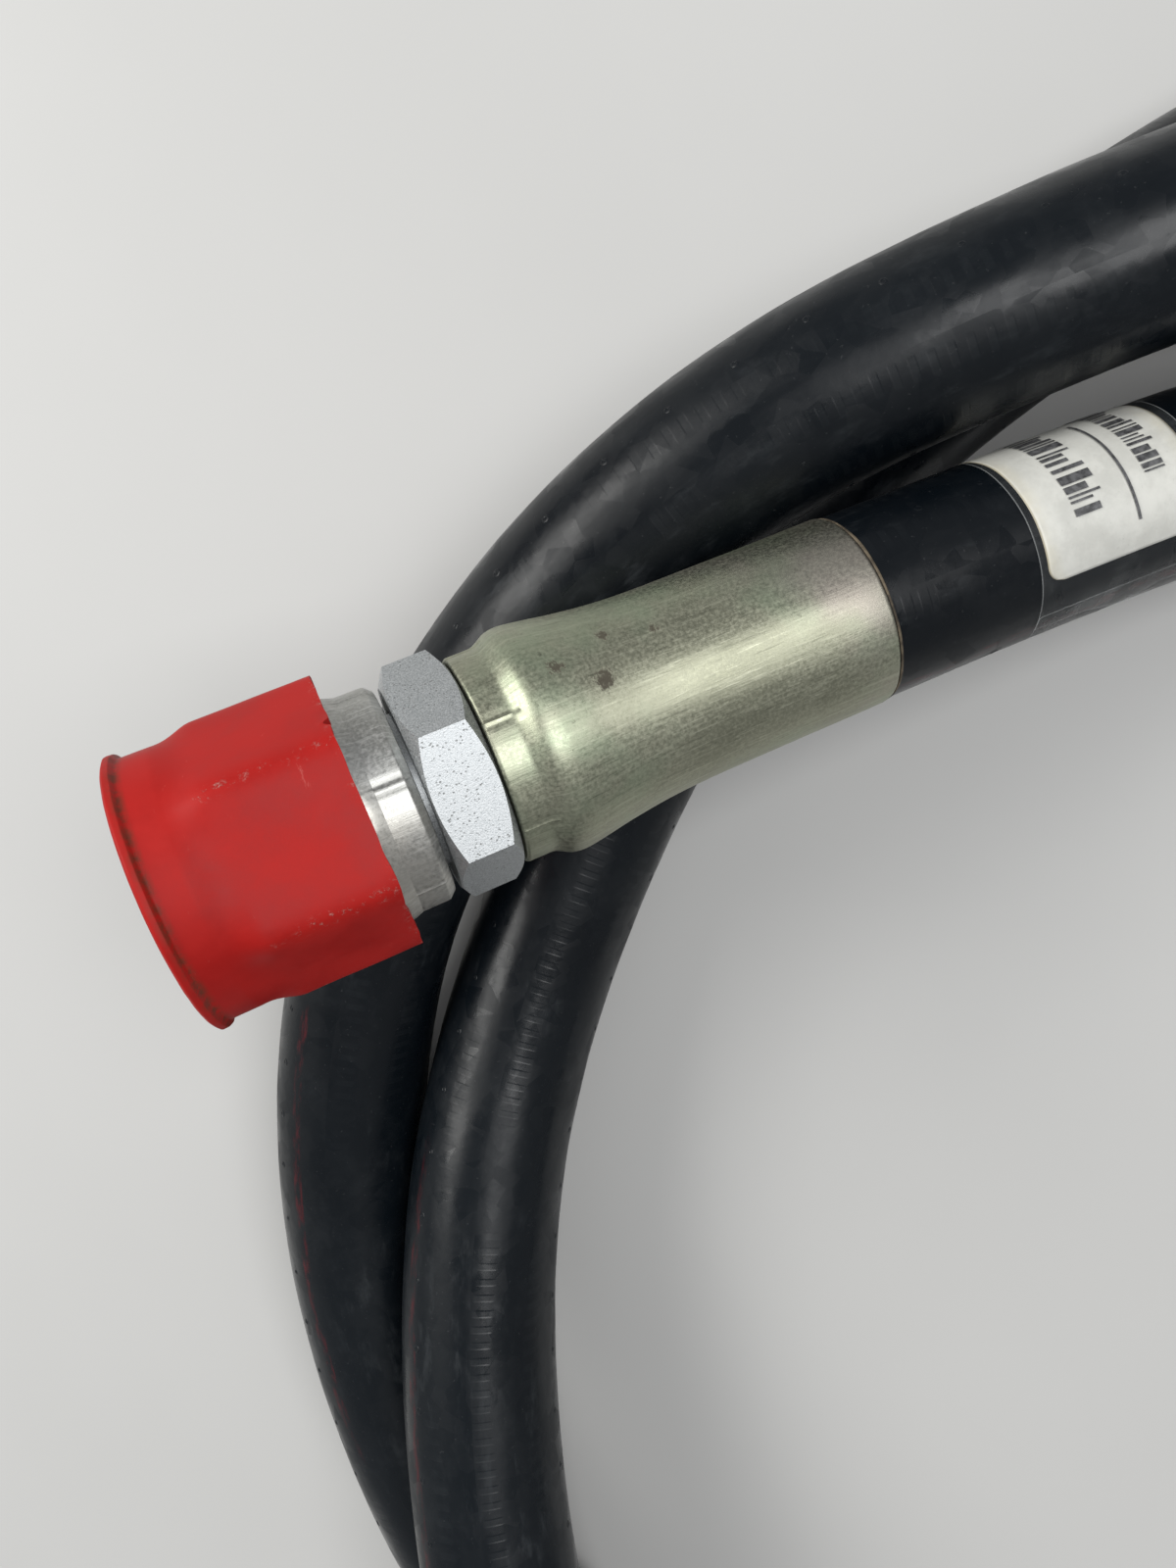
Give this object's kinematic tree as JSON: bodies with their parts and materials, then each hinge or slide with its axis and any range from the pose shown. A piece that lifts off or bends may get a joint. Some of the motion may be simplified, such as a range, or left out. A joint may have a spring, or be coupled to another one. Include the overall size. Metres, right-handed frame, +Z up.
{
  "type": "hydraulic hose assembly",
  "caption": "Coiled two-wire-braid hydraulic hose with crimped female swivel fittings and push-on dust caps.",
  "frame": {"origin": "on the surface that the coil lies on, under the middle of the two end fittings' bounding box", "axes": "+Z up from that surface; +X is the plan direction in which the hose leaves fitting A, away from its dust cap"},
  "size_m": [0.3417, 0.2712, 0.0654],
  "materials": {
    "cover_rubber": "satin",
    "inner_rubber": "matte",
    "braid_wire": "satin",
    "zinc_steel": "satin",
    "nut_steel": "satin",
    "cap_vinyl": "satin",
    "label_paper": "matte",
    "clear_film": "gloss"
  },
  "bodies": {
    "hose": {"hose_cover": "cover_rubber", "outer_wire_braid": "braid_wire", "tie_layer": "inner_rubber", "inner_wire_braid": "braid_wire", "core_tube": "inner_rubber", "part_label": "label_paper", "label_tape": "clear_film", "ferrule_a": "zinc_steel", "ferrule_b": "zinc_steel", "stem_a": "nut_steel", "stem_b": "nut_steel"},
    "nut_a": {"swivel_nut_a": "nut_steel"},
    "nut_b": {"swivel_nut_b": "nut_steel"},
    "cap_a": {"dust_cap_a": "cap_vinyl"},
    "cap_b": {"dust_cap_b": "cap_vinyl"}
  },
  "joints": [
    {"name": "nut_a_spin", "type": "hinge", "parent": "hose", "child": "nut_a", "pos_m": [-0.13914, 0.0645, 0.04895], "axis": [-0.9378, 0, 0.3472], "continuous": true},
    {"name": "cap_a_pull", "type": "slide", "parent": "nut_a", "child": "cap_a", "axis": [-0.9378, 0, 0.3472], "range_m": [0, 0.04]},
    {"name": "nut_b_spin", "type": "hinge", "parent": "hose", "child": "nut_b", "pos_m": [0.1399, -0.05991, 0.01285], "axis": [0.3519, -0.9354, 0.0348], "continuous": true},
    {"name": "cap_b_pull", "type": "slide", "parent": "nut_b", "child": "cap_b", "axis": [0.3519, -0.9354, 0.0348], "range_m": [0, 0.04]}
  ]
}
